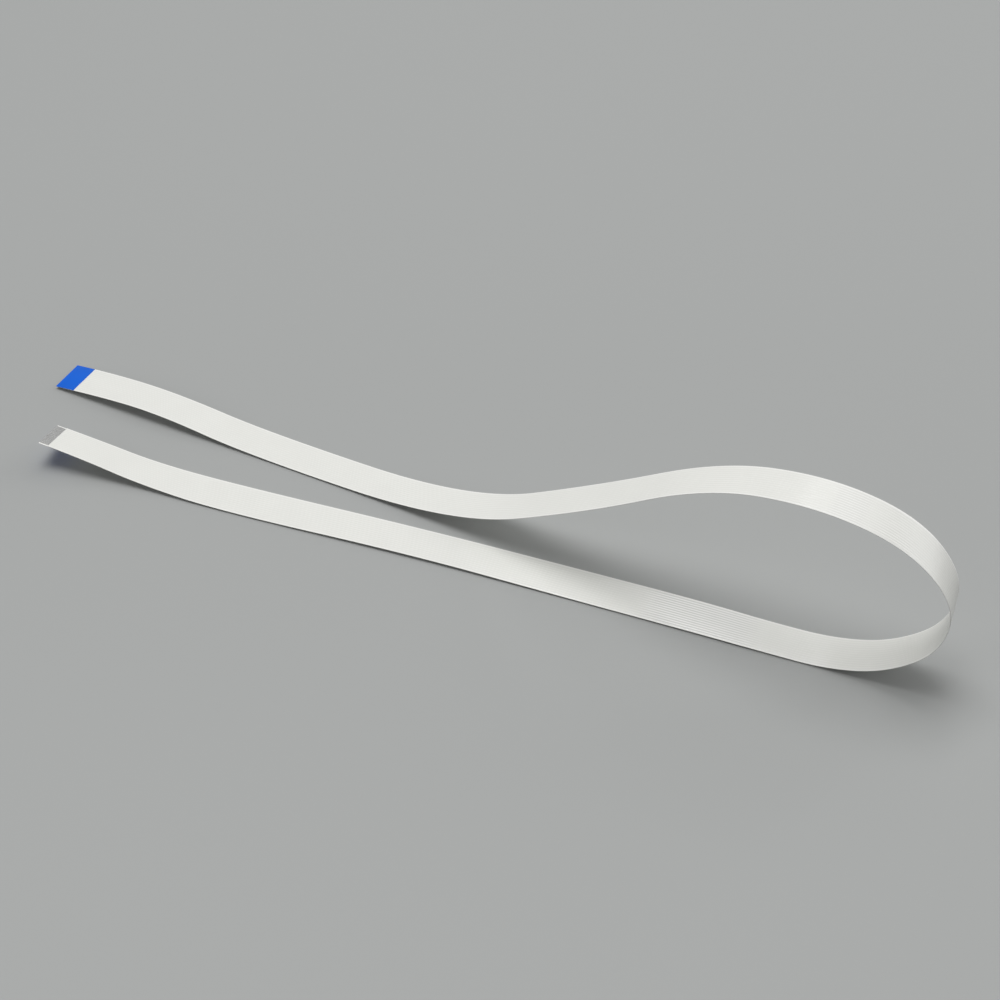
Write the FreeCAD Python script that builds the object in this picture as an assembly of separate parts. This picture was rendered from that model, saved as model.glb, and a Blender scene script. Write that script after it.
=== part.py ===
import FreeCAD, Part
import math
import os

# Flat flex cable: thirteen flat tinned conductors laid side by side between two white films, with a
# blue stiffener on the backing film at each end and the contacts bared on the cover film's side.
# It lies on a table as one strip that is rolled back over itself. The origin is on the table, in the
# middle of the space that the cable covers: +X runs along its longest extent and +Z is up.

# Driving dimensions in millimetres: alias, value and meaning.
DIMENSIONS = [
    ("ways", "13", "conductors side by side"),
    ("pitch", "1.0", "from one conductor to the next"),
    ("conductor_width", "0.7", "width of one flat conductor"),
    ("conductor_thick", "0.1", "thickness of one flat conductor"),
    ("edge_margin", "0.65", "film outside the outermost conductors"),
    ("backing_thick", "0.05", "film that carries the conductors"),
    ("cover_thick", "0.05", "film laid over the conductors"),
    ("near_contact", "3.6", "bared conductor at the near end"),
    ("far_contact", "3.6", "bared conductor at the far end"),
    ("stiffener_length", "8.0", "stiffener from the end inwards"),
    ("stiffener_thick", "0.15", "stiffener"),
    ("bond_gap", "0.002", "clearance between pieces that are bonded"),
]

# Route of the conductors' middle from the near end, under the raised tip, to the far end. A row holds
# a point's x, y and height above flat rest, then how the width points there: its heading round the
# vertical and its upward tilt, in degrees.
ROUTE = [
    (-148.5, 31.0, 10.4, 76.0, -12.5),
    (-133.0, 26.0, 7.4, 75.5, -10.0),
    (-108.5, 17.5, 2.0, 75.0, -7.5),
    (-70.0, 5.0, 0.1, 73.0, -0.5),
    (-16.0, -13.0, 0.5, 71.0, -4.0),
    (35.5, -32.0, 0.0, 70.0, 0.0),
    (74.5, -46.5, 0.2, 69.5, 1.0),
    (99.5, -56.5, 0.3, 69.5, -2.0),
    (119.0, -63.5, 0.1, 70.0, -0.5),
    (136.0, -69.5, 5.5, 70.5, -0.5),
    (150.0, -74.0, 19.4, 70.0, -1.0),
    (152.0, -74.0, 39.9, 69.5, -0.5),
    (136.5, -66.0, 57.4, 65.0, 2.5),
    (109.5, -54.0, 63.4, 62.5, 2.0),
    (79.5, -38.0, 55.4, 62.5, -1.5),
    (42.5, -21.0, 28.4, 65.5, 1.5),
    (-0.5, 2.0, 1.2, 65.0, -1.0),
    (-58.5, 29.0, -0.2, 65.0, -2.0),
    (-109.0, 55.5, 2.9, 65.5, -2.5),
    (-134.5, 67.0, 2.6, 65.5, -2.5),
    (-151.0, 74.0, 1.7, 65.5, -2.5),
]

DEGREE = 2
SEWING_TOLERANCE = 1e-4


def make_document():
    """Open the document with its sheet of driving dimensions."""
    document = FreeCAD.newDocument("flat_flex_cable")
    sheet = document.addObject("Spreadsheet::Sheet", "dimensions")
    for row, (alias, value, meaning) in enumerate(DIMENSIONS, start=1):
        sheet.set("A%d" % row, value)
        sheet.set("B%d" % row, meaning)
        sheet.setAlias("A%d" % row, alias)
    document.recompute()
    return document, sheet


document, size = make_document()

# Heights through the layers, measured from the conductors' middle towards the cover film.
conductor_top = size.conductor_thick / 2.0
conductor_bottom = -conductor_top
backing_top = conductor_bottom - size.bond_gap
backing_bottom = backing_top - size.backing_thick
cover_bottom = conductor_top + size.bond_gap
cover_top = cover_bottom + size.cover_thick
stiffener_top = backing_bottom - size.bond_gap
stiffener_bottom = stiffener_top - size.stiffener_thick

# Half widths of the band of conductors and of the whole cable.
band_side = (size.ways - 1) * size.pitch / 2.0 + size.conductor_width / 2.0
cable_side = band_side + size.edge_margin

# Lying flat, the conductors' middle is this high: either film may be the one underneath.
rest_height = max(-backing_bottom, cover_top)


def width_direction(heading, tilt):
    """Return the unit vector with a heading round the vertical and an upward tilt, in degrees."""
    turned = math.radians(heading)
    raised = math.radians(tilt)
    level = math.cos(raised)
    return FreeCAD.Vector(math.cos(turned) * level, math.sin(turned) * level, math.sin(raised))


def route_frames():
    """Return each route point with its direction across the cable and towards the cover film."""
    points = [FreeCAD.Vector(x, y, height) for x, y, height, heading, tilt in ROUTE]
    legs = [(after - before).normalize() for before, after in zip(points, points[1:])]
    frames = []
    for index, (x, y, height, heading, tilt) in enumerate(ROUTE):
        leg_before = legs[max(index - 1, 0)]
        leg_after = legs[min(index, len(legs) - 1)]
        along = (leg_before + leg_after).normalize()
        across = width_direction(heading, tilt)
        across = (across - along * across.dot(along)).normalize()
        frames.append((points[index], across, along.cross(across)))
    return frames


FRAMES = route_frames()


def curve_beside_route(side, level):
    """Return the spline that follows the route at a distance across it and a level through it."""
    poles = [point + across * side + upward * level for point, across, upward in FRAMES]
    spans = len(poles) - DEGREE
    curve = Part.BSplineCurve()
    repeats = [DEGREE + 1] + [1] * (spans - 1) + [DEGREE + 1]
    curve.buildFromPolesMultsKnots(poles, repeats, [float(knot) for knot in range(spans + 1)], False, DEGREE)
    return curve


MIDDLE = curve_beside_route(0.0, 0.0)
CABLE_LENGTH = MIDDLE.length()


def place_on_route(distance):
    """Return the spline parameter at a distance along the conductors' middle from the near end."""
    return MIDDLE.parameterAtDistance(distance, MIDDLE.FirstParameter)


def ruled_face(edge_a, edge_b):
    """Return the face of straight lines between two splines that run side by side."""
    surface = Part.BSplineSurface()
    surface.buildFromPolesMultsKnots(
        [edge_a.getPoles(), edge_b.getPoles()],
        [2, 2], edge_a.getMultiplicities(),
        [0.0, 1.0], edge_a.getKnots(),
        False, False, 1, edge_a.Degree)
    return surface.toShape()


def end_face(corners):
    """Return the flat face that closes a strip at one end."""
    return Part.Face(Part.makePolygon(corners + corners[:1]))


def strip(section, start, end):
    """Return the solid that carries a section along the route between two distances.

    The section is a list of corners, each a distance across the cable and a level through it.
    """
    first = place_on_route(start)
    last = place_on_route(end)
    edges = []
    for side, level in section:
        edge = curve_beside_route(side, level)
        edge.segment(first, last)
        edges.append(edge)
    faces = [ruled_face(edge, following) for edge, following in zip(edges, edges[1:] + edges[:1])]
    faces.append(end_face([edge.StartPoint for edge in edges]))
    faces.append(end_face([edge.EndPoint for edge in edges]))
    shell = Part.makeShell(faces)
    shell.sewShape(SEWING_TOLERANCE)
    solid = Part.Solid(shell)
    if solid.Volume < 0.0:
        solid = Part.Solid(shell.reversed())
    return solid


def rectangle(side_low, side_high, level_low, level_high):
    """Return the four corners of a rectangular section."""
    return [
        (side_low, level_low),
        (side_high, level_low),
        (side_high, level_high),
        (side_low, level_high),
    ]


def section_area(section):
    """Return the area inside a section's corners."""
    following = section[1:] + section[:1]
    return abs(sum(a[0] * b[1] - b[0] * a[1] for a, b in zip(section, following))) / 2.0


sub_parts = []


def add_sub_part(name, section, start, end):
    """Add one piece to the document, lifted to lie on the table, and print its volume."""
    feature = document.addObject("Part::Feature", name)
    feature.Label = name
    feature.Shape = strip(section, start, end)
    feature.Placement = FreeCAD.Placement(FreeCAD.Vector(0.0, 0.0, rest_height), FreeCAD.Rotation())
    sub_parts.append(feature)
    expected = section_area(section) * (end - start)
    print("%-16s volume %8.2f, section by length %8.2f" % (name, feature.Shape.Volume, expected))


def add_backing_film():
    """Film along the whole cable that the conductors are bonded to."""
    section = rectangle(-cable_side, cable_side, backing_bottom, backing_top)
    add_sub_part("backing_film", section, 0.0, CABLE_LENGTH)


def add_cover_film():
    """Film over the conductors, short of both ends by the bared contacts."""
    section = rectangle(-cable_side, cable_side, cover_bottom, cover_top)
    add_sub_part("cover_film", section, size.near_contact, CABLE_LENGTH - size.far_contact)


def add_conductors():
    """Flat tinned conductors, from one end of the cable to the other."""
    for index in range(int(size.ways)):
        centre = (index - (size.ways - 1) / 2.0) * size.pitch
        half = size.conductor_width / 2.0
        section = rectangle(centre - half, centre + half, conductor_bottom, conductor_top)
        add_sub_part("conductor_%02d" % (index + 1), section, 0.0, CABLE_LENGTH)


def add_stiffeners():
    """Blue stiffeners bonded to the backing film under each end's contacts."""
    section = rectangle(-cable_side, cable_side, stiffener_bottom, stiffener_top)
    add_sub_part("stiffener_near", section, 0.0, size.stiffener_length)
    add_sub_part("stiffener_far", section, CABLE_LENGTH - size.stiffener_length, CABLE_LENGTH)


def print_route():
    """Print the cable's length and width, and how tightly each route point turns it."""
    print("cable length %.1f, width %.2f" % (CABLE_LENGTH, 2.0 * cable_side))
    points = [point for point, across, upward in FRAMES]
    for before, here, after in zip(points, points[1:], points[2:]):
        turn = (here - before).getAngle(after - here)
        shorter = min((here - before).Length, (after - here).Length)
        radius = 0.45 * shorter / math.tan(turn / 2.0)
        print("turn %5.1f degrees, radius %7.1f" % (math.degrees(turn), radius))


def check_and_export():
    """Stop at a failed object or a bad shape, then write each piece to its own file."""
    for item in document.Objects:
        if "Invalid" in item.State or "Error" in item.State:
            raise RuntimeError("%s did not compute" % item.Label)
    for feature in sub_parts:
        if feature.Shape.isNull() or not feature.Shape.isValid():
            raise RuntimeError("%s has a bad shape" % feature.Label)
    os.makedirs("parts", exist_ok=True)
    for feature in sub_parts:
        feature.Shape.exportStep("parts/%s.step" % feature.Label)


add_backing_film()
add_cover_film()
add_conductors()
add_stiffeners()
document.recompute()
print_route()
check_and_export()
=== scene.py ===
import math

import bmesh
import bpy
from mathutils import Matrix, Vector


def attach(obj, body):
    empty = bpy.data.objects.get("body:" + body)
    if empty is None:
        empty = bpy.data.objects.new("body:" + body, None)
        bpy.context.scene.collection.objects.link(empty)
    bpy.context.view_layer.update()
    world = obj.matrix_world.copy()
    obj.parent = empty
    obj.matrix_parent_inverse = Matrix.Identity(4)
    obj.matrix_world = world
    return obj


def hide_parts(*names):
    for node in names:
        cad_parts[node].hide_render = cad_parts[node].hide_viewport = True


bl_info = {
    "name": "Flat Flex Cable",
    "version": (1, 0, 0),
    "blender": (4, 5, 0),
    "location": "View3D > Sidebar > Flex Cable",
    "description": "Builds a white flat flex cable that lies rolled back over itself",
    "category": "Object",
}

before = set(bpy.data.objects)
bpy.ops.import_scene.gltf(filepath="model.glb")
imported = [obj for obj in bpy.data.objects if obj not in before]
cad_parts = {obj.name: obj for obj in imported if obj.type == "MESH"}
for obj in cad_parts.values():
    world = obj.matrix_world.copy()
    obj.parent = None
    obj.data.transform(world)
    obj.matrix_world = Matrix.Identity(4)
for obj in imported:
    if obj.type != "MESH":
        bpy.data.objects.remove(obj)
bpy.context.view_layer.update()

# The cable's route from the near end to the far end. A row holds a point of the conductors' middle
# in metres, above flat rest, then how the width points there: its heading and its upward tilt in
# degrees. The points are the control points of a NURBS spline.
ROUTE = [
    (-0.1493, 0.0338, 0.0079, 76.0, -12.8),
    (-0.1337, 0.0283, 0.0054, 75.5, -12.0),
    (-0.1130, 0.0209, 0.0008, 75.0, -7.5),
    (-0.0830, 0.0089, 0.0002, 73.5, 0.1),
    (-0.0160, -0.0132, 0.0006, 71.0, -4.6),
    (0.0355, -0.0322, 0.0004, 70.0, 0.0),
    (0.0745, -0.0468, 0.0006, 69.5, 1.0),
    (0.0995, -0.0565, 0.0003, 69.5, -2.0),
    (0.1190, -0.0635, 0.0001, 70.0, -0.5),
    (0.1360, -0.0695, 0.0055, 70.5, -0.5),
    (0.1500, -0.0740, 0.0194, 70.0, -1.0),
    (0.1520, -0.0740, 0.0399, 69.5, -0.5),
    (0.1365, -0.0660, 0.0574, 65.0, 2.5),
    (0.1095, -0.0540, 0.0634, 62.5, 2.0),
    (0.0795, -0.0380, 0.0554, 62.5, -1.5),
    (0.0425, -0.0210, 0.0284, 65.5, 1.5),
    (-0.0005, 0.0005, 0.0012, 65.0, -3.3),
    (-0.0750, 0.0375, -0.0002, 65.0, -1.3),
    (-0.1090, 0.0546, 0.0038, 65.5, -5.0),
    (-0.1347, 0.0670, 0.0028, 65.5, -2.0),
    (-0.1509, 0.0746, 0.0007, 65.5, -1.1),
]

# The cable's real length in metres.
CABLE_LENGTH = 0.7

# Straight steps in which each run of a spline is drawn, and the least distance in metres from a cut
# end to the next station.
STEPS_PER_RUN = 22
STATION_CLEARANCE = 0.0002

# An edge of a piece stays crisp if its faces turn by more than this.
SHARP_TURN = math.radians(35.0)

# Stretches with painted glint lines: painted highlights between the conductors and painted shade
# over them, under a glossier coat. The middle of each and its reach to either side, as shares of
# the cable's length, and how strongly the painted glints show.
PAINTED_GLINT_STRETCHES = ((0.3450, 0.0290, 1.0), (0.5525, 0.0085, 0.42))

# The camera's focal length in half widths of the picture.
FOCAL_LENGTH = 3.562


class FlexCableSizes(bpy.types.PropertyGroup):
    """Sizes of the cable's layers."""

    ways: bpy.props.IntProperty(
        name="Ways", description="Conductors side by side", default=13, min=2)
    pitch: bpy.props.FloatProperty(
        name="Pitch", description="From one conductor to the next",
        default=0.001, precision=5, unit="LENGTH", subtype="DISTANCE")
    conductor_width: bpy.props.FloatProperty(
        name="Conductor width", description="Width of one flat conductor",
        default=0.0007, precision=5, unit="LENGTH", subtype="DISTANCE")
    conductor_thick: bpy.props.FloatProperty(
        name="Conductor thickness", description="Thickness of one flat conductor",
        default=0.0001, precision=5, unit="LENGTH", subtype="DISTANCE")
    edge_margin: bpy.props.FloatProperty(
        name="Edge margin", description="Film outside the outermost conductors",
        default=0.00065, precision=5, unit="LENGTH", subtype="DISTANCE")
    film_thick: bpy.props.FloatProperty(
        name="Film thickness", description="Thickness of each white film",
        default=0.00005, precision=6, unit="LENGTH", subtype="DISTANCE")
    contact_length: bpy.props.FloatProperty(
        name="Contact length", description="Bared conductor at each end",
        default=0.0036, precision=5, unit="LENGTH", subtype="DISTANCE")
    stiffener_length: bpy.props.FloatProperty(
        name="Stiffener length", description="Stiffener from the end inwards",
        default=0.008, precision=5, unit="LENGTH", subtype="DISTANCE")
    stiffener_thick: bpy.props.FloatProperty(
        name="Stiffener thickness", description="Thickness of the stiffener",
        default=0.00015, precision=6, unit="LENGTH", subtype="DISTANCE")
    stiffener_slope: bpy.props.FloatProperty(
        name="Stiffener's slope", description="How far the stiffener's cut sides slope inwards",
        default=0.00025, precision=6, unit="LENGTH", subtype="DISTANCE")
    bond_gap: bpy.props.FloatProperty(
        name="Bond gap", description="Clearance between pieces that are bonded",
        default=0.000002, precision=7, unit="LENGTH", subtype="DISTANCE")
    relief: bpy.props.FloatProperty(
        name="Relief", description="How far the films sink between the conductors",
        default=0.00003, precision=7, unit="LENGTH", subtype="DISTANCE")
    relief_slope: bpy.props.FloatProperty(
        name="Relief slope", description="Width of the slope beside each conductor",
        default=0.00013, precision=6, unit="LENGTH", subtype="DISTANCE")
    margin_sink: bpy.props.FloatProperty(
        name="Margin's sink", description="How far the films sink outside the conductors",
        default=0.000025, precision=7, unit="LENGTH", subtype="DISTANCE")


class FlexCableColours(bpy.types.PropertyGroup):
    """Colours of the cable and of the table."""

    film: bpy.props.FloatVectorProperty(
        name="Film", description="White polyester film", subtype="COLOR",
        default=(0.940, 0.942, 0.900))
    film_shade: bpy.props.FloatVectorProperty(
        name="Film over a conductor", description="White film where a conductor lies under it",
        subtype="COLOR", default=(0.902, 0.904, 0.863))
    film_margin: bpy.props.FloatVectorProperty(
        name="Film's margin", description="White film outside the conductors", subtype="COLOR",
        default=(0.985, 0.985, 0.950))
    # Painted highlight between the conductors in the glint stretches.
    painted_glint_light: bpy.props.FloatVectorProperty(
        name="Film beside ridges",
        description="White film between conductors that show through strongly",
        subtype="COLOR", default=(1.0, 1.0, 0.975))
    # Painted shade over the conductors in the glint stretches.
    painted_glint_shade: bpy.props.FloatVectorProperty(
        name="Film on ridges",
        description="White film over conductors that show through strongly",
        subtype="COLOR", default=(0.770, 0.772, 0.738))
    bared: bpy.props.FloatVectorProperty(
        name="Bared film", description="Dull film between the contacts, where its adhesive was",
        subtype="COLOR", default=(0.68, 0.69, 0.68))
    stiffener: bpy.props.FloatVectorProperty(
        name="Stiffener", description="Blue polyester stiffener", subtype="COLOR",
        default=(0.010, 0.149, 0.786))
    tin: bpy.props.FloatVectorProperty(
        name="Tin", description="Tin coat on the conductors", subtype="COLOR",
        default=(0.83, 0.83, 0.82))
    table: bpy.props.FloatVectorProperty(
        name="Table", description="Pale grey table", subtype="COLOR",
        default=(0.405, 0.415, 0.41))
    # Painted light: the table's paler front.
    table_front_painted_light: bpy.props.FloatVectorProperty(
        name="Table's front", description="Slightly paler front of the table", subtype="COLOR",
        default=(0.454, 0.465, 0.459))


class FlexCableFinish(bpy.types.PropertyGroup):
    """Gloss and grain of the surfaces, and how softly their tones meet."""

    film_rough: bpy.props.FloatVectorProperty(
        name="Film's roughness", description="Least and greatest roughness of the white film",
        size=2, default=(0.17, 0.25))
    stiffener_rough: bpy.props.FloatVectorProperty(
        name="Stiffener's roughness", description="Least and greatest roughness of the blue film",
        size=2, default=(0.20, 0.28))
    tin_rough: bpy.props.FloatVectorProperty(
        name="Tin's roughness", description="Least and greatest roughness of the tin",
        size=2, default=(0.38, 0.48))
    coat_rough: bpy.props.FloatProperty(
        name="Ridges' roughness", description="Roughness of the glossier coat over strong ridges",
        default=0.15)
    table_rough: bpy.props.FloatProperty(
        name="Table's roughness", description="Roughness of the table", default=0.75)
    grain_height: bpy.props.FloatProperty(
        name="Grain", description="Height of the films' fine grain",
        default=0.000001, precision=7, unit="LENGTH", subtype="DISTANCE")
    film_cloud: bpy.props.FloatProperty(
        name="Film's cloudiness", description="How much the white film's tone varies",
        default=0.04)
    stiffener_cloud: bpy.props.FloatProperty(
        name="Stiffener's cloudiness", description="How much the blue film's tone varies",
        default=0.1)
    tin_streaks: bpy.props.FloatVectorProperty(
        name="Tin's streaks", description="Streaks across the cable and along it",
        size=2, default=(900.0, 400.0))
    tin_shade: bpy.props.FloatProperty(
        name="Tin's shade", description="Darkest streak, as a share of the tin's colour",
        default=0.9)
    line_edge: bpy.props.FloatProperty(
        name="Line's edge", description="Half the soft edge beside a conductor, in pitches",
        default=0.06)
    # Softness of the painted glint lines, and where their stretches are full and where they end.
    painted_glint_inside: bpy.props.FloatProperty(
        name="Ridge's edge inside", description="Soft edge over a strong ridge, in pitches",
        default=0.20)
    painted_glint_outside: bpy.props.FloatProperty(
        name="Ridge's edge outside", description="Soft edge beside a strong ridge, in pitches",
        default=0.08)
    painted_glint_full: bpy.props.FloatProperty(
        name="Ridges in full",
        description="Share of a stretch's reach in which its ridges are full", default=0.6)
    painted_glint_end: bpy.props.FloatProperty(
        name="Ridges' end", description="Share of a stretch's reach at which its ridges end",
        default=1.1)


class FlexCableStudio(bpy.types.PropertyGroup):
    """Camera, lights and table."""

    camera_height: bpy.props.FloatProperty(
        name="Camera height", description="How steeply the camera looks down",
        default=math.radians(43.99), unit="ROTATION", subtype="ANGLE")
    camera_distance: bpy.props.FloatProperty(
        name="Camera distance", description="From the camera to the point it looks at",
        default=0.625, unit="LENGTH", subtype="DISTANCE")
    camera_target: bpy.props.FloatVectorProperty(
        name="Camera target", description="Point on the table in the middle of the picture",
        default=(0.0125, 0.008, 0.0), subtype="XYZ", unit="LENGTH")
    camera_view: bpy.props.FloatProperty(
        name="Field of view", description="Angle across the picture",
        default=2.0 * math.atan(1.0 / FOCAL_LENGTH), unit="ROTATION", subtype="ANGLE")
    key_place: bpy.props.FloatVectorProperty(
        name="Key light's place", description="Middle of the large soft light above and behind",
        default=(-0.211, 0.397, 1.949), subtype="XYZ", unit="LENGTH")
    key_strength: bpy.props.FloatProperty(
        name="Key light", description="Power of the large soft light",
        default=25.1, unit="POWER")
    side_place: bpy.props.FloatVectorProperty(
        name="Side light's place", description="Middle of the weaker soft light behind the loop",
        default=(0.653, 1.044, 1.576), subtype="XYZ", unit="LENGTH")
    side_strength: bpy.props.FloatProperty(
        name="Side light", description="Power of the weaker soft light",
        default=5.5, unit="POWER")
    right_place: bpy.props.FloatVectorProperty(
        name="Right light's place",
        description="Middle of the weak soft light to the right of the loop",
        default=(1.703, 0.794, 0.684), subtype="XYZ", unit="LENGTH")
    right_strength: bpy.props.FloatProperty(
        name="Right light", description="Power of the weak soft light to the right",
        default=8.1, unit="POWER")
    left_place: bpy.props.FloatVectorProperty(
        name="Left light's place", description="Middle of the weak soft light at the left",
        default=(-1.837, -0.492, 0.618), subtype="XYZ", unit="LENGTH")
    left_strength: bpy.props.FloatProperty(
        name="Left light", description="Power of the weak soft light at the left",
        default=7.7, unit="POWER")
    light_size: bpy.props.FloatProperty(
        name="Lights' size", description="Side of each square light",
        default=1.2, unit="LENGTH", subtype="DISTANCE")
    fill_strength: bpy.props.FloatProperty(
        name="Surrounding light", description="Strength of the soft light from all round",
        default=0.14)
    table_reach: bpy.props.FloatProperty(
        name="Table's reach", description="From the middle of the table to each side",
        default=3.0, unit="LENGTH", subtype="DISTANCE")
    # Painted light: the table pales towards the front between these two places.
    painted_light_from: bpy.props.FloatProperty(
        name="Paling from", description="Place along Y from which the table pales to the front",
        default=0.10, unit="LENGTH", subtype="DISTANCE")
    painted_light_to: bpy.props.FloatProperty(
        name="Paling to", description="Place along Y at which the table is palest",
        default=-0.28, unit="LENGTH", subtype="DISTANCE")


def width_direction(heading, tilt):
    """Return the unit vector with a heading round the vertical and an upward tilt, in degrees."""
    turned = math.radians(heading)
    raised = math.radians(tilt)
    level = math.cos(raised)
    return Vector((math.cos(turned) * level, math.sin(turned) * level, math.sin(raised)))


def route_frames(rest_height):
    """Return each route point with its direction across the cable and towards the cover film."""
    points = [Vector((x, y, height + rest_height)) for x, y, height, heading, tilt in ROUTE]
    legs = [(after - before).normalized() for before, after in zip(points, points[1:])]
    frames = []
    for point, before, after, row in zip(points, legs[:1] + legs, legs + legs[-1:], ROUTE):
        along = (before + after).normalized()
        across = width_direction(*row[3:])
        across = (across - along * across.dot(along)).normalized()
        frames.append((point, across, along.cross(across)))
    return frames


def smooth_line(name, control_points):
    """Return the points of the NURBS spline that has these control points."""
    curve = bpy.data.curves.new(name, "CURVE")
    curve.dimensions = "3D"
    curve.resolution_u = STEPS_PER_RUN
    spline = curve.splines.new("NURBS")
    spline.points.add(len(control_points) - 1)
    for point, place in zip(spline.points, control_points):
        point.co = (place.x, place.y, place.z, 1.0)
    spline.order_u = 3
    spline.use_endpoint_u = True
    spline.resolution_u = STEPS_PER_RUN
    holder = bpy.data.objects.new(name, curve)
    line = bpy.data.meshes.new_from_object(holder)
    points = [vertex.co.copy() for vertex in line.vertices]
    bpy.data.meshes.remove(line)
    bpy.data.objects.remove(holder)
    bpy.data.curves.remove(curve)
    return points


class Layers:
    """Heights through the cable from the conductors' middle, and half widths across it."""

    def __init__(self, size):
        self.conductor_top = size.conductor_thick / 2.0
        self.conductor_bottom = -self.conductor_top
        self.backing_top = self.conductor_bottom - size.bond_gap
        self.backing_bottom = self.backing_top - size.film_thick
        self.cover_bottom = self.conductor_top + size.bond_gap
        self.cover_top = self.cover_bottom + size.film_thick
        self.stiffener_top = self.backing_bottom - size.bond_gap
        self.stiffener_bottom = self.stiffener_top - size.stiffener_thick
        self.band_side = (size.ways - 1) * size.pitch / 2.0 + size.conductor_width / 2.0
        self.cable_side = self.band_side + size.edge_margin


class Route:
    """Stations along the cable, each with its distance, place and directions."""

    def __init__(self, layers):
        frames = route_frames(layers.cover_top)
        side = layers.cable_side
        middle = smooth_line("middle_line", [place for place, across, upward in frames])
        edge = smooth_line(
            "edge_line", [place + across * side for place, across, upward in frames])
        over = smooth_line(
            "upper_line", [place + upward * side for place, across, upward in frames])
        self.stations = []
        distance = 0.0
        for index, place in enumerate(middle):
            if index:
                distance += (place - middle[index - 1]).length
            across = (edge[index] - place) / side
            upward = (over[index] - place) / side
            self.stations.append((distance, place, across, upward))
        self.length = distance

    def path(self):
        """Return the points of the middle line."""
        return [place for distance, place, across, upward in self.stations]

    def station_at(self, wanted):
        """Return the station at a distance, between the two nearest ones."""
        for before, after in zip(self.stations, self.stations[1:]):
            if after[0] >= wanted:
                share = (wanted - before[0]) / (after[0] - before[0])
                mixed = [a.lerp(b, share) for a, b in zip(before[1:], after[1:])]
                return (wanted, *mixed)
        return self.stations[-1]

    def between(self, start, end):
        """Return the stations from one distance to another."""
        low = start + STATION_CLEARANCE
        high = end - STATION_CLEARANCE
        inner = [station for station in self.stations if low < station[0] < high]
        return [self.station_at(start)] + inner + [self.station_at(end)]


def cable_of(scene):
    """Return the scene's sizes with the layers and the route that follow from them."""
    size = scene.flex_cable_sizes
    layers = Layers(size)
    return size, layers, Route(layers)


def corner_place(station, corner):
    """Return where a section's corner lies at a station."""
    distance, place, across, upward = station
    side, level = corner
    return place + across * side + upward * level


def put_in_order(bm, along_layer, corner_layer):
    """Number a bmesh's parts along the cable, so that its mesh is the same in each run."""
    for parts, rank in (
        (bm.verts, lambda part: (part[along_layer], part[corner_layer])),
        (bm.edges, lambda part: sorted(vertex.index for vertex in part.verts)),
        (bm.faces, lambda part: sorted(vertex.index for vertex in part.verts)),
    ):
        for index, part in enumerate(sorted(parts, key=rank)):
            part.index = index
        parts.sort()
        parts.index_update()


def sweep(section, stations, half_width, length):
    """Return a bmesh of a section extruded along the stations, with a UV map that follows it."""
    bm = bmesh.new()
    corner_layer = bm.verts.layers.int.new("corner")
    along_layer = bm.verts.layers.float.new("along")
    ring = []
    for index, corner in enumerate(section):
        vertex = bm.verts.new(corner_place(stations[0], corner))
        vertex[corner_layer] = index
        vertex[along_layer] = stations[0][0]
        ring.append(vertex)
    edges = [bm.edges.new((a, b)) for a, b in zip(ring, ring[1:] + ring[:1])]
    bmesh.ops.contextual_create(bm, geom=edges)
    for station in stations[1:]:
        grown = bmesh.ops.extrude_edge_only(bm, edges=edges)["geom"]
        fresh = {item for item in grown if isinstance(item, bmesh.types.BMVert)}
        for vertex in fresh:
            vertex.co = corner_place(station, section[vertex[corner_layer]])
            vertex[along_layer] = station[0]
        edges = [
            item for item in grown
            if isinstance(item, bmesh.types.BMEdge) and fresh.issuperset(item.verts)
        ]
    bmesh.ops.contextual_create(bm, geom=edges)
    put_in_order(bm, along_layer, corner_layer)
    bmesh.ops.recalc_face_normals(bm, faces=bm.faces)
    uv_layer = bm.loops.layers.uv.new("along_cable")
    for face in bm.faces:
        face.smooth = True
        for loop in face.loops:
            side = section[loop.vert[corner_layer]][0]
            loop[uv_layer].uv = (side / (2.0 * half_width) + 0.5, loop.vert[along_layer] / length)
    for edge in bm.edges:
        if edge.is_manifold and edge.calc_face_angle() > SHARP_TURN:
            edge.smooth = False
    return bm


def add_piece(name, bm, material, nodes):
    """Make an object of a bmesh, let it ride on the cable's body and stand for CAD nodes."""
    mesh = bpy.data.meshes.new(name)
    bm.to_mesh(mesh)
    bm.free()
    mesh.materials.append(material)
    piece = bpy.data.objects.new(name, mesh)
    bpy.context.scene.collection.objects.link(piece)
    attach(piece, "root")
    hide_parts(*nodes)
    return piece


def four_corners(middle, half_low, half_high, level_low, level_high):
    """Return the corners of a section from its half widths at its lower and its upper level."""
    return [
        (middle - half_low, level_low),
        (middle + half_low, level_low),
        (middle + half_high, level_high),
        (middle - half_high, level_high),
    ]


def conductor_centres(size):
    """Return how far each conductor lies across the cable's middle."""
    return [(index - (size.ways - 1) / 2.0) * size.pitch for index in range(size.ways)]


def ribbed_line(size, crest, direction):
    """Return a film's outer line across the cable: a crest over each conductor, sunk in between."""
    half = size.conductor_width / 2.0
    low = crest - direction * size.relief
    line = []
    for centre in conductor_centres(size):
        line.append((centre - half - size.relief_slope, low))
        line.append((centre - half, crest))
        line.append((centre + half, crest))
        line.append((centre + half + size.relief_slope, low))
    return line


def node_group(name, inputs, outputs):
    """Start a shader node group with named sockets."""
    group = bpy.data.node_groups.new(name, "ShaderNodeTree")
    for title, kind, value in inputs:
        socket = group.interface.new_socket(title, in_out="INPUT", socket_type=kind)
        socket.default_value = value
    for title, kind in outputs:
        group.interface.new_socket(title, in_out="OUTPUT", socket_type=kind)
    return group, group.nodes.new("NodeGroupInput"), group.nodes.new("NodeGroupOutput")


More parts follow.
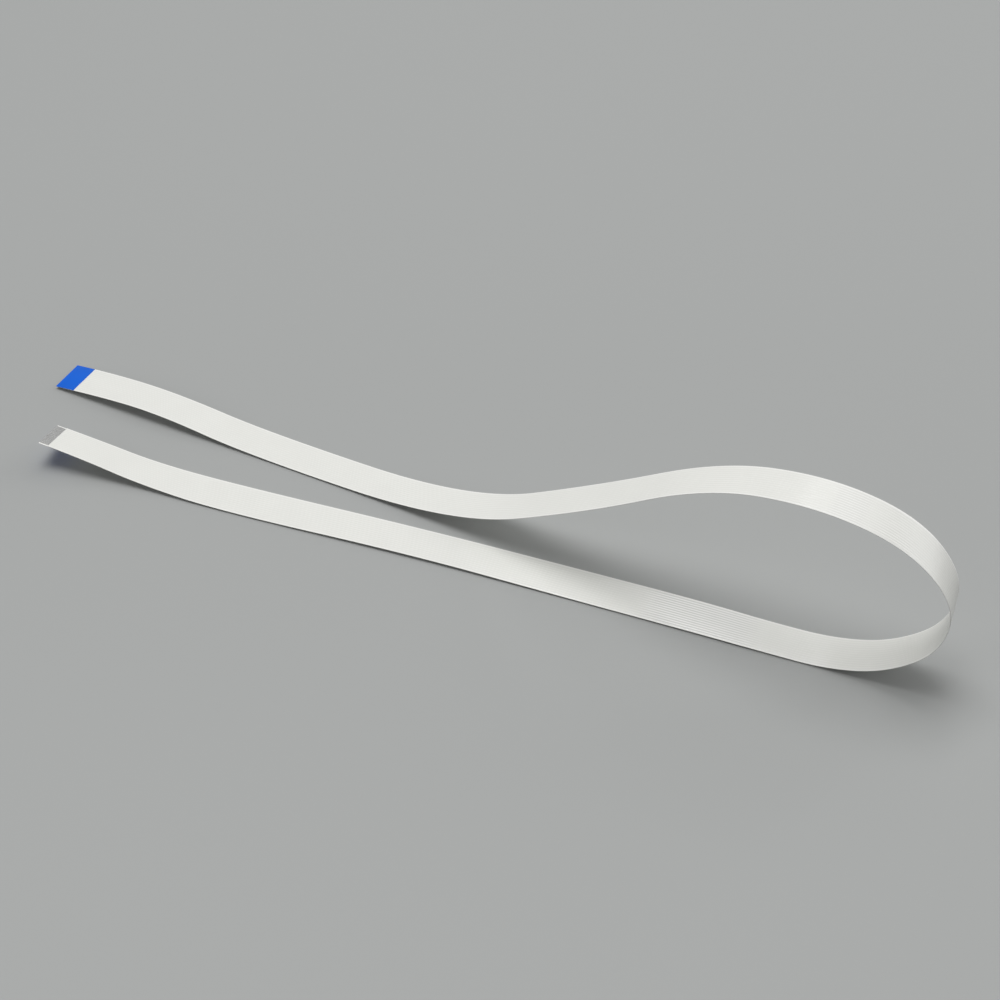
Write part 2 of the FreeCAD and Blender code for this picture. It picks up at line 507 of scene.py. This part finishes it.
def mottle_group():
    """Node group of a film's faint cloudiness and fine grain."""
    name = "film_mottle"
    if name in bpy.data.node_groups:
        return bpy.data.node_groups[name]
    group, given, result = node_group(
        name,
        [("Cloud Scale", "NodeSocketFloat", 90.0), ("Grain Scale", "NodeSocketFloat", 2600.0)],
        [("Cloud", "NodeSocketFloat"), ("Grain", "NodeSocketFloat")])
    nodes = group.nodes
    links = group.links
    place = nodes.new("ShaderNodeTexCoord")
    for title, detail in (("Cloud", 3.0), ("Grain", 2.0)):
        noise = nodes.new("ShaderNodeTexNoise")
        noise.inputs["Detail"].default_value = detail
        links.new(place.outputs["Object"], noise.inputs["Vector"])
        links.new(given.outputs[title + " Scale"], noise.inputs["Scale"])
        links.new(noise.outputs["Fac"], result.inputs[title])
    return group


def new_material(name):
    """Start a node material and return it with its nodes, links and shader."""
    material = bpy.data.materials.new(name)
    material.use_nodes = True
    nodes = material.node_tree.nodes
    return material, nodes, material.node_tree.links, nodes["Principled BSDF"]


def vary_roughness(nodes, links, shader, value, limits):
    """Let a socket's value from zero to one set a shader's roughness between two limits."""
    rough = nodes.new("ShaderNodeMapRange")
    rough.inputs["To Min"].default_value, rough.inputs["To Max"].default_value = limits
    links.new(value, rough.inputs["Value"])
    links.new(rough.outputs["Result"], shader.inputs["Roughness"])


def add_mottle(nodes, links, shader, rough_limits, grain_height):
    """Give a shader the mottle's roughness and grain, and return the socket of its cloudiness."""
    mottle = nodes.new("ShaderNodeGroup")
    mottle.node_tree = mottle_group()
    vary_roughness(nodes, links, shader, mottle.outputs["Cloud"], rough_limits)
    bump = nodes.new("ShaderNodeBump")
    bump.inputs["Distance"].default_value = grain_height
    bump.inputs["Strength"].default_value = 1.0
    links.new(mottle.outputs["Grain"], bump.inputs["Height"])
    links.new(bump.outputs["Normal"], shader.inputs["Normal"])
    return mottle.outputs["Cloud"]


def math_step(nodes, links, operation, first, second=None):
    """Return the output of a math node that reads a socket, and a number or another socket."""
    node = nodes.new("ShaderNodeMath")
    node.operation = operation
    links.new(first, node.inputs[0])
    if isinstance(second, bpy.types.NodeSocket):
        links.new(second, node.inputs[1])
    elif second is not None:
        node.inputs[1].default_value = second
    return node.outputs["Value"]


def soft_step(nodes, links, value, low, high, at_low, at_high):
    """Return the output of a node that turns softly between two numbers as its input grows."""
    node = nodes.new("ShaderNodeMapRange")
    node.interpolation_type = "SMOOTHSTEP"
    node.inputs["From Min"].default_value = low
    node.inputs["From Max"].default_value = high
    node.inputs["To Min"].default_value = at_low
    node.inputs["To Max"].default_value = at_high
    links.new(value, node.inputs["Value"])
    return node.outputs["Result"]


def colour_mix(nodes, links, share, first, second, blend="MIX"):
    """Return the output of a node that mixes two colours by a share, each a value or a socket."""
    node = nodes.new("ShaderNodeMix")
    node.data_type = "RGBA"
    node.blend_type = blend
    for title, value in (("Factor", share), ("A", first), ("B", second)):
        if isinstance(value, bpy.types.NodeSocket):
            links.new(value, node.inputs[title])
        elif title == "Factor":
            node.inputs[title].default_value = value
        else:
            node.inputs[title].default_value = (*value, 1.0)
    return node.outputs["Result"]


def white_film(scene):
    """White polyester film: satin gloss, with the conductors just showing through it, and painted
    glint lines in two stretches.
    """
    name = "satin_white"
    if name in bpy.data.materials:
        return bpy.data.materials[name]
    size = scene.flex_cable_sizes
    colours = scene.flex_cable_colours
    finish = scene.flex_cable_finish
    layers = Layers(size)
    material, nodes, links, shader = new_material(name)
    cloud = add_mottle(nodes, links, shader, finish.film_rough, finish.grain_height)
    place = nodes.new("ShaderNodeUVMap")
    place.uv_map = "along_cable"
    split = nodes.new("ShaderNodeSeparateXYZ")
    links.new(place.outputs["UV"], split.inputs["Vector"])
    side_share = split.outputs["X"]
    along_share = split.outputs["Y"]

    # Steps of one pitch across the cable, folded at each conductor's middle: from 0 there to 0.5
    # halfway to the next one.
    steps = math_step(nodes, links, "MULTIPLY", side_share, 2.0 * layers.cable_side / size.pitch)
    ripple = math_step(nodes, links, "PINGPONG", steps, 0.5)
    conductor_edge = 0.5 * size.conductor_width / size.pitch
    gap = soft_step(
        nodes, links, ripple,
        conductor_edge - finish.line_edge, conductor_edge + finish.line_edge, 0.0, 1.0)
    # Wider soft lines for the painted highlights and painted shade of the glint stretches.
    painted_glint_gap = soft_step(
        nodes, links, ripple,
        conductor_edge - finish.painted_glint_inside, conductor_edge + finish.painted_glint_outside, 0.0, 1.0)

    # The margins outside the outermost conductors.
    from_middle = math_step(nodes, links, "SUBTRACT", side_share, 0.5)
    either_side = math_step(nodes, links, "ABSOLUTE", from_middle)
    band_share = 0.5 * layers.band_side / layers.cable_side
    margin = math_step(nodes, links, "GREATER_THAN", either_side, band_share)

    # The stretches with painted glint lines, which also get a glossier coat.
    painted_glints_and_coat = None
    for middle, reach, strength in PAINTED_GLINT_STRETCHES:
        offset = math_step(nodes, links, "SUBTRACT", along_share, middle)
        distance = math_step(nodes, links, "ABSOLUTE", offset)
        stretch = soft_step(
            nodes, links, distance,
            finish.painted_glint_full * reach, finish.painted_glint_end * reach, strength, 0.0)
        if painted_glints_and_coat is None:
            painted_glints_and_coat = stretch
        else:
            painted_glints_and_coat = math_step(nodes, links, "MAXIMUM", painted_glints_and_coat, stretch)

    # The bared contacts at both ends, where the film between them is dull.
    from_halfway = math_step(nodes, links, "SUBTRACT", along_share, 0.5)
    either_end = math_step(nodes, links, "ABSOLUTE", from_halfway)
    covered_share = 0.5 - size.contact_length / CABLE_LENGTH
    at_end = math_step(nodes, links, "GREATER_THAN", either_end, covered_share)

    plain = colour_mix(nodes, links, gap, colours.film_shade, colours.film)
    # In the glint stretches the tone carries painted highlights between the conductors and painted
    # shade over them.
    strong = colour_mix(nodes, links, painted_glint_gap, colours.painted_glint_shade, colours.painted_glint_light)
    tone_with_painted_glints = colour_mix(nodes, links, painted_glints_and_coat, plain, strong)
    dull = colour_mix(nodes, links, at_end, tone_with_painted_glints, colours.bared)
    whole = colour_mix(nodes, links, margin, dull, colours.film_margin)
    cloudy = colour_mix(nodes, links, finish.film_cloud, whole, cloud, "MULTIPLY")
    links.new(cloudy, shader.inputs["Base Color"])
    links.new(painted_glints_and_coat, shader.inputs["Coat Weight"])
    shader.inputs["Coat Roughness"].default_value = finish.coat_rough
    return material


def blue_film(scene):
    """Blue polyester stiffener: satin gloss over a full colour."""
    name = "satin_blue"
    if name in bpy.data.materials:
        return bpy.data.materials[name]
    colours = scene.flex_cable_colours
    finish = scene.flex_cable_finish
    material, nodes, links, shader = new_material(name)
    cloud = add_mottle(nodes, links, shader, finish.stiffener_rough, finish.grain_height)
    cloudy = colour_mix(
        nodes, links, finish.stiffener_cloud, colours.stiffener, cloud, "MULTIPLY")
    links.new(cloudy, shader.inputs["Base Color"])
    return material


def bright_tin(scene):
    """Tin coat on flat copper, drawn along the cable."""
    name = "drawn_tin"
    if name in bpy.data.materials:
        return bpy.data.materials[name]
    colours = scene.flex_cable_colours
    finish = scene.flex_cable_finish
    material, nodes, links, shader = new_material(name)
    shader.inputs["Metallic"].default_value = 1.0
    place = nodes.new("ShaderNodeUVMap")
    place.uv_map = "along_cable"
    stretch = nodes.new("ShaderNodeMapping")
    stretch.inputs["Scale"].default_value = (*finish.tin_streaks, 1.0)
    streak = nodes.new("ShaderNodeTexNoise")
    streak.inputs["Scale"].default_value = 1.0
    streak.inputs["Detail"].default_value = 3.0
    links.new(place.outputs["UV"], stretch.inputs["Vector"])
    links.new(stretch.outputs["Vector"], streak.inputs["Vector"])
    vary_roughness(nodes, links, shader, streak.outputs["Fac"], finish.tin_rough)
    dark_tin = [finish.tin_shade * part for part in colours.tin]
    tone = colour_mix(nodes, links, streak.outputs["Fac"], dark_tin, colours.tin)
    links.new(tone, shader.inputs["Base Color"])
    return material


def table_grey(scene):
    """Smooth grey table, with painted light that makes it slightly paler towards the front."""
    colours = scene.flex_cable_colours
    studio = scene.flex_cable_studio
    material, nodes, links, shader = new_material("table_grey")
    place = nodes.new("ShaderNodeTexCoord")
    split = nodes.new("ShaderNodeSeparateXYZ")
    links.new(place.outputs["Object"], split.inputs["Vector"])
    # Painted light towards the front.
    front = soft_step(
        nodes, links, split.outputs["Y"], studio.painted_light_to, studio.painted_light_from, 1.0, 0.0)
    grey = colour_mix(nodes, links, front, colours.table, colours.table_front_painted_light)
    links.new(grey, shader.inputs["Base Color"])
    shader.inputs["Roughness"].default_value = scene.flex_cable_finish.table_rough
    return material


def add_table(scene):
    """Add the table top under the cable."""
    bm = bmesh.new()
    bmesh.ops.create_grid(bm, x_segments=1, y_segments=1, size=scene.flex_cable_studio.table_reach)
    mesh = bpy.data.meshes.new("table_top")
    bm.to_mesh(mesh)
    bm.free()
    mesh.materials.append(table_grey(scene))
    table = bpy.data.objects.new("table_top", mesh)
    scene.collection.objects.link(table)


def add_light(scene, name, place, strength):
    """Add a square soft light that shines at the middle of the table."""
    light = bpy.data.lights.new(name, "AREA")
    light.shape = "SQUARE"
    light.size = scene.flex_cable_studio.light_size
    light.energy = strength
    lamp = bpy.data.objects.new(name, light)
    lamp.location = place
    lamp.rotation_euler = (-lamp.location).to_track_quat("-Z", "Y").to_euler()
    scene.collection.objects.link(lamp)


def add_surroundings(scene):
    """Add the plain light from all round."""
    world = bpy.data.worlds.new("studio")
    world.use_nodes = True
    background = world.node_tree.nodes["Background"]
    background.inputs["Color"].default_value = (1.0, 1.0, 1.0, 1.0)
    background.inputs["Strength"].default_value = scene.flex_cable_studio.fill_strength
    scene.world = world


class FLEXCABLE_OT_camera(bpy.types.Operator):
    """Set up the camera at the picture's angle"""

    bl_idname = "flex_cable.camera"
    bl_label = "Camera"

    def execute(self, context):
        studio = context.scene.flex_cable_studio
        data = bpy.data.cameras.new("picture_camera")
        data.sensor_fit = "HORIZONTAL"
        data.angle = studio.camera_view
        camera = bpy.data.objects.new("picture_camera", data)
        height = studio.camera_height
        away = Vector((0.0, -math.cos(height), math.sin(height)))
        camera.location = Vector(studio.camera_target) + away * studio.camera_distance
        camera.rotation_euler = (math.pi / 2.0 - height, 0.0, 0.0)
        context.scene.collection.objects.link(camera)
        context.scene.camera = camera
        return {"FINISHED"}


class FLEXCABLE_OT_films(bpy.types.Operator):
    """Add the two white films, the backing and the cover"""

    bl_idname = "flex_cable.films"
    bl_label = "Films"

    def execute(self, context):
        size, layers, route = cable_of(context.scene)
        material = white_film(context.scene)
        side = layers.cable_side
        sink = size.margin_sink

        underside = ribbed_line(size, layers.backing_bottom, -1.0)
        backing = [
            (-side, layers.backing_bottom + sink),
            *underside,
            (side, layers.backing_bottom + sink),
            (side, layers.backing_top),
            (-side, layers.backing_top),
        ]
        bm = sweep(backing, route.between(0.0, route.length), side, route.length)
        add_piece("backing_sheet", bm, material, ["backing_film"])

        upside = ribbed_line(size, layers.cover_top, 1.0)
        upside.reverse()
        cover = [
            (-side, layers.cover_bottom - sink),
            (side, layers.cover_bottom - sink),
            (side, layers.cover_top - sink),
            *upside,
            (-side, layers.cover_top - sink),
        ]
        start = size.contact_length
        bm = sweep(cover, route.between(start, route.length - start), side, route.length)
        add_piece("cover_sheet", bm, material, ["cover_film"])
        return {"FINISHED"}


class FLEXCABLE_OT_conductors(bpy.types.Operator):
    """Add the flat tinned conductors, each in its own piece"""

    bl_idname = "flex_cable.conductors"
    bl_label = "Conductors"

    def execute(self, context):
        size, layers, route = cable_of(context.scene)
        material = bright_tin(context.scene)
        half = size.conductor_width / 2.0
        stations = route.between(0.0, route.length)
        for number, centre in enumerate(conductor_centres(size), start=1):
            section = four_corners(
                centre, half, half, layers.conductor_bottom, layers.conductor_top)
            bm = sweep(section, stations, layers.cable_side, route.length)
            name = "tinned_strip_%02d" % number
            add_piece(name, bm, material, ["conductor_%02d" % number])
        return {"FINISHED"}


class FLEXCABLE_OT_stiffeners(bpy.types.Operator):
    """Add the blue stiffeners at both ends"""

    bl_idname = "flex_cable.stiffeners"
    bl_label = "Stiffeners"

    def execute(self, context):
        size, layers, route = cable_of(context.scene)
        material = blue_film(context.scene)
        side = layers.cable_side
        section = four_corners(
            0.0, side - size.stiffener_slope, side,
            layers.stiffener_bottom, layers.stiffener_top)
        reach = size.stiffener_length
        for name, node, start, end in (
            ("blue_tab_near", "stiffener_near", 0.0, reach),
            ("blue_tab_far", "stiffener_far", route.length - reach, route.length),
        ):
            bm = sweep(section, route.between(start, end), side, route.length)
            add_piece(name, bm, material, [node])
        return {"FINISHED"}


class FLEXCABLE_OT_declare(bpy.types.Operator):
    bl_idname = "flex_cable.declare"
    bl_label = "Cord"

    def execute(self, context):
        size, layers, route = cable_of(context.scene)
        path = route.path()
        names = ["cover_sheet", "blue_tab_near", "blue_tab_far"]
        names += ["tinned_strip_%02d" % number for number in range(1, size.ways + 1)]
        return {"FINISHED"}


class FLEXCABLE_OT_stage(bpy.types.Operator):
    """Add the table, the four soft lights and the light from all round"""

    bl_idname = "flex_cable.stage"
    bl_label = "Stage"

    def execute(self, context):
        scene = context.scene
        studio = scene.flex_cable_studio
        add_table(scene)
        for name, place, strength in (
            ("soft_key", studio.key_place, studio.key_strength),
            ("soft_side", studio.side_place, studio.side_strength),
            ("soft_right", studio.right_place, studio.right_strength),
            ("soft_left", studio.left_place, studio.left_strength),
        ):
            add_light(scene, name, place, strength)
        add_surroundings(scene)
        scene.view_settings.view_transform = "Standard"
        return {"FINISHED"}


class FLEXCABLE_PT_parts(bpy.types.Panel):
    """Lists the cable's pieces and sizes"""

    bl_label = "Flat Flex Cable"
    bl_idname = "FLEXCABLE_PT_parts"
    bl_space_type = "VIEW_3D"
    bl_region_type = "UI"
    bl_category = "Flex Cable"

    def draw(self, context):
        layout = self.layout
        for operator in OPERATORS:
            layout.operator(operator.bl_idname)
        for settings in (
            context.scene.flex_cable_sizes,
            context.scene.flex_cable_colours,
            context.scene.flex_cable_finish,
            context.scene.flex_cable_studio,
        ):
            for field in settings.__annotations__:
                layout.prop(settings, field)


OPERATORS = (
    FLEXCABLE_OT_camera,
    FLEXCABLE_OT_films,
    FLEXCABLE_OT_conductors,
    FLEXCABLE_OT_stiffeners,
    FLEXCABLE_OT_declare,
    FLEXCABLE_OT_stage,
)
CLASSES = (
    FlexCableSizes,
    FlexCableColours,
    FlexCableFinish,
    FlexCableStudio,
    *OPERATORS,
    FLEXCABLE_PT_parts,
)


def register():
    """Register the classes and give each scene its settings."""
    for item in CLASSES:
        bpy.utils.register_class(item)
    bpy.types.Scene.flex_cable_sizes = bpy.props.PointerProperty(type=FlexCableSizes)
    bpy.types.Scene.flex_cable_colours = bpy.props.PointerProperty(type=FlexCableColours)
    bpy.types.Scene.flex_cable_finish = bpy.props.PointerProperty(type=FlexCableFinish)
    bpy.types.Scene.flex_cable_studio = bpy.props.PointerProperty(type=FlexCableStudio)


def unregister():
    """Take the settings and the classes away again."""
    del bpy.types.Scene.flex_cable_studio
    del bpy.types.Scene.flex_cable_finish
    del bpy.types.Scene.flex_cable_colours
    del bpy.types.Scene.flex_cable_sizes
    for item in reversed(CLASSES):
        bpy.utils.unregister_class(item)


def main():
    """Build the whole cable."""
    register()
    bpy.ops.flex_cable.camera()
    bpy.ops.flex_cable.films()
    bpy.ops.flex_cable.conductors()
    bpy.ops.flex_cable.stiffeners()
    bpy.ops.flex_cable.declare()
    bpy.ops.flex_cable.stage()


if __name__ == "__main__":
    main()
